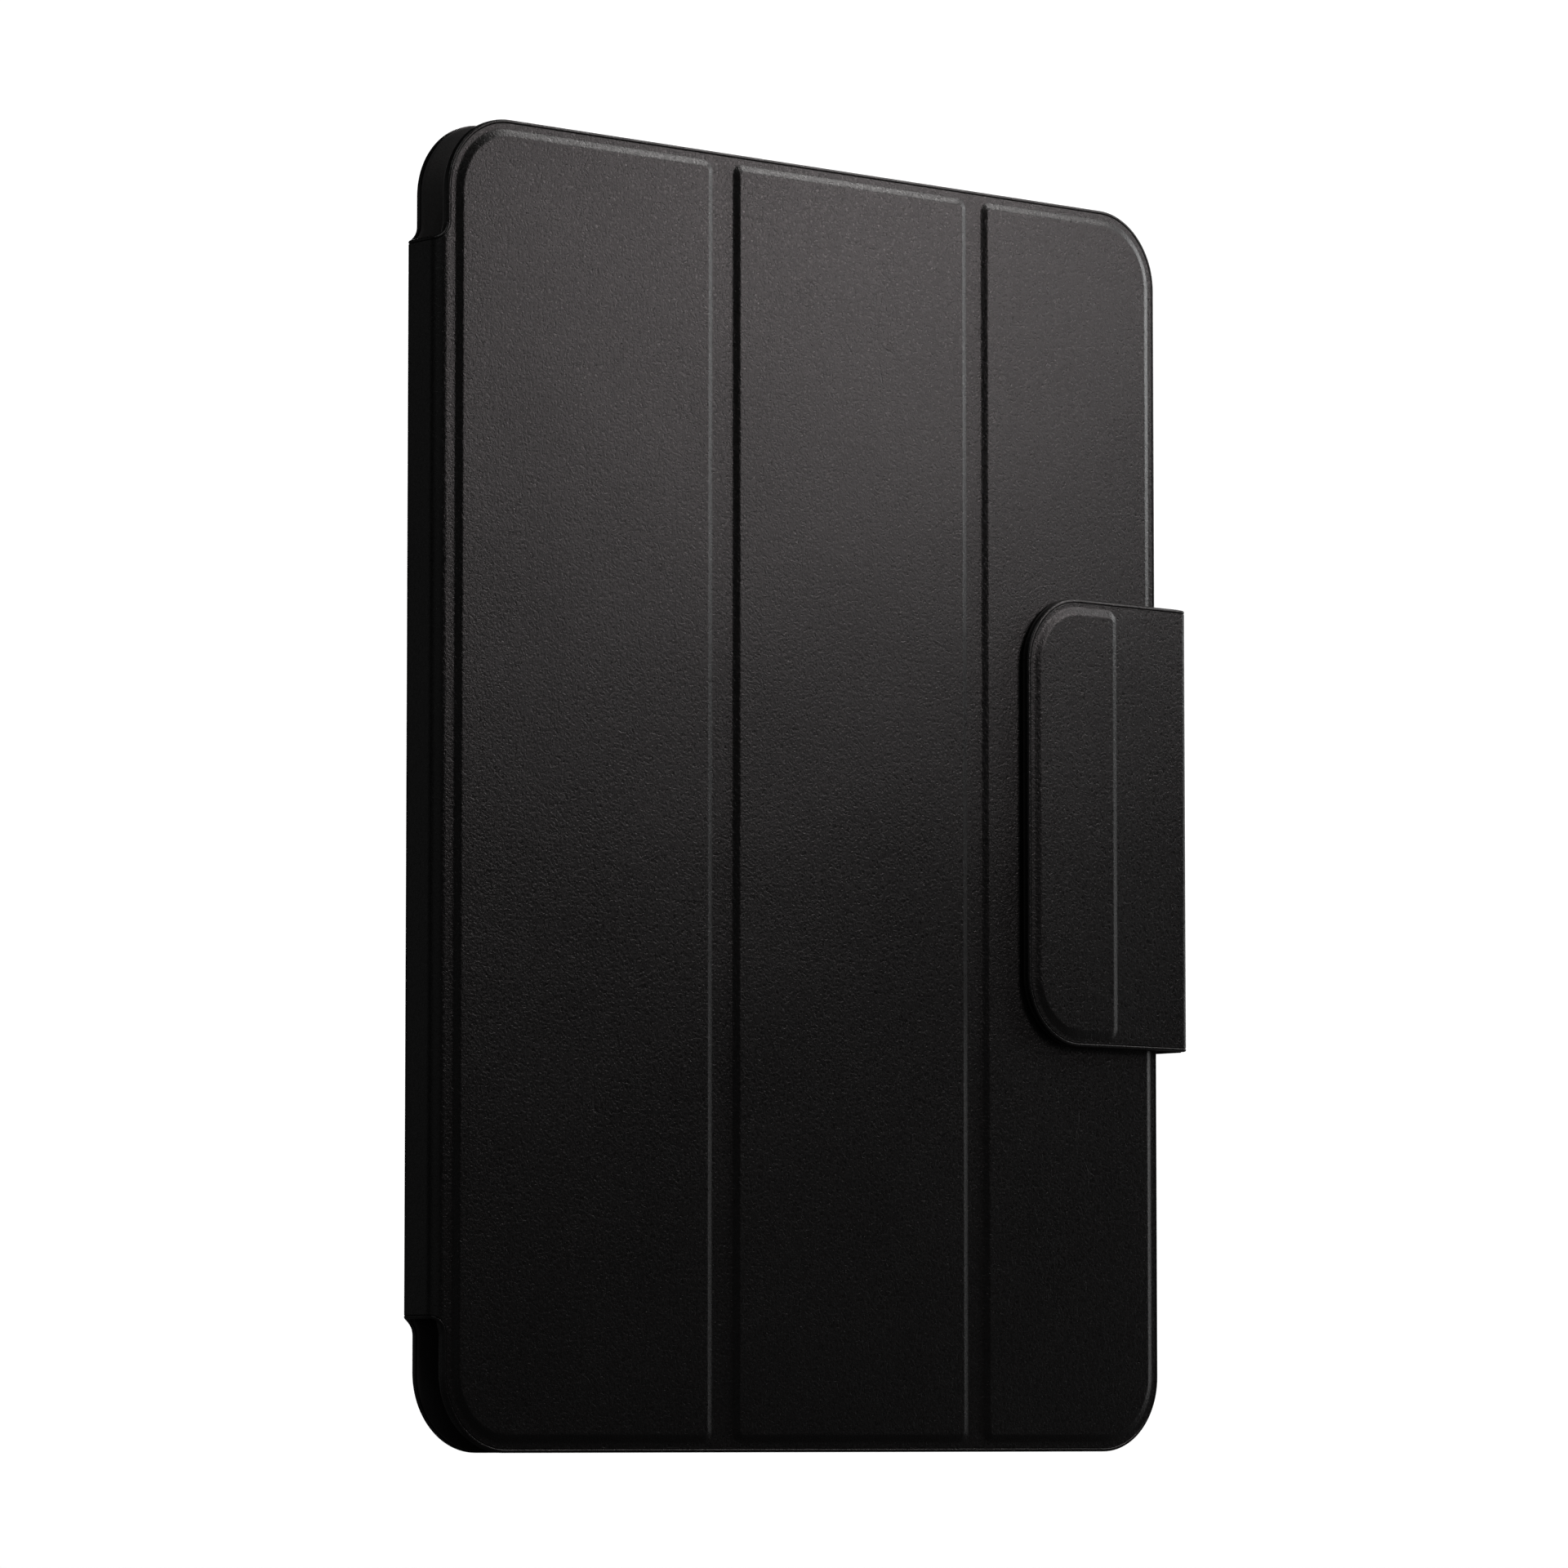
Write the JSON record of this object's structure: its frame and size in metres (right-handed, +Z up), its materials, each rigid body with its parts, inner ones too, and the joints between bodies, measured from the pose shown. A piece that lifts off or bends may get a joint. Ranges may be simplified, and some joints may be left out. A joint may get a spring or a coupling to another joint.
{
  "type": "tablet case",
  "caption": "Folio case for a tablet: folding cover, notched spine, flat back with a camera window, and a closing flap that loops round a stylus.",
  "frame": {"origin": "on the surface that the closed case stands on, under the middle of its box", "axes": "+Z up along the case's long side, -Y out of the front cover, -X towards the spine and +X towards the closing flap"},
  "size_m": [0.1946, 0.0136, 0.251],
  "materials": {
    "leather": "black full-grain leather, fine pores, soft semi-matt sheen",
    "microfibre": "charcoal microfibre suede, matt with a short nap",
    "strap_lining": "thin black split leather, matt",
    "stiffener": "dark glass-fibre sheet",
    "magnet": "nickel-plated magnet",
    "steel": "plain steel sheet"
  },
  "bodies": {
    "back": {"back_leather": "leather", "back_board": "stiffener", "back_magnets": "magnet", "back_lining": "microfibre", "flap_root_leather": "leather", "flap_root_lining": "strap_lining", "back_bend_leather": "leather", "back_bend_lining": "microfibre", "flap_root_bend_leather": "leather", "flap_root_bend_lining": "strap_lining"},
    "spine": {"spine_leather": "leather", "spine_stiffener": "stiffener", "spine_lining": "microfibre", "cover_bend_leather": "leather", "cover_bend_lining": "microfibre"},
    "cover_inner": {"inner_panel_leather": "leather", "inner_panel_board": "stiffener", "inner_panel_lining": "microfibre", "first_fold_leather": "leather", "first_fold_lining": "microfibre"},
    "cover_middle": {"middle_panel_leather": "leather", "middle_panel_board": "stiffener", "middle_panel_lining": "microfibre", "second_fold_leather": "leather", "second_fold_lining": "microfibre"},
    "cover_outer": {"outer_panel_leather": "leather", "outer_panel_board": "stiffener", "outer_panel_lining": "microfibre", "cover_edge_magnets": "magnet", "wake_magnet": "magnet", "flap_catch_plate": "steel"},
    "flap_side": {"flap_side_leather": "leather", "flap_side_lining": "strap_lining", "flap_front_bend_leather": "leather", "flap_front_bend_lining": "strap_lining"},
    "flap_tab": {"tab_leather": "leather", "tab_board": "stiffener", "tab_lining": "strap_lining", "tab_magnets": "magnet"}
  },
  "joints": [
    {"name": "spine_hinge", "type": "hinge", "parent": "back", "child": "spine", "pos_m": [-0.09604, 0.00494, 0.1255], "axis": [0, 0, -1], "range_deg": [0, 179], "deforming": ["back_bend_leather", "back_bend_lining"]},
    {"name": "cover_hinge", "type": "hinge", "parent": "spine", "child": "cover_inner", "pos_m": [-0.09598, -0.00258, 0.1255], "axis": [0, 0, -1], "range_deg": [0, 179], "deforming": ["cover_bend_leather", "cover_bend_lining"]},
    {"name": "first_fold", "type": "hinge", "parent": "cover_inner", "child": "cover_middle", "pos_m": [-0.02655, -0.0033, 0.1255], "axis": [0, 0, 1], "range_deg": [-120, 0], "deforming": ["first_fold_leather", "first_fold_lining"]},
    {"name": "second_fold", "type": "hinge", "parent": "cover_middle", "child": "cover_outer", "pos_m": [0.03975, -0.0033, 0.1255], "axis": [0, 0, 1], "range_deg": [-120, 0], "deforming": ["second_fold_leather", "second_fold_lining"]},
    {"name": "flap_root_hinge", "type": "hinge", "parent": "back", "child": "flap_side", "pos_m": [0.09628, 0.00518, 0.12575], "axis": [0, 0, 1], "range_deg": [0, 120], "deforming": ["flap_root_bend_leather", "flap_root_bend_lining"]},
    {"name": "flap_bend_hinge", "type": "hinge", "parent": "flap_side", "child": "flap_tab", "pos_m": [0.09628, -0.00528, 0.12575], "axis": [0, 0, 1], "range_deg": [0, 90], "deforming": ["flap_front_bend_leather", "flap_front_bend_lining"]}
  ],
  "couplings": [
    {"joint": "second_fold", "follows": "first_fold", "ratio": 1}
  ]
}
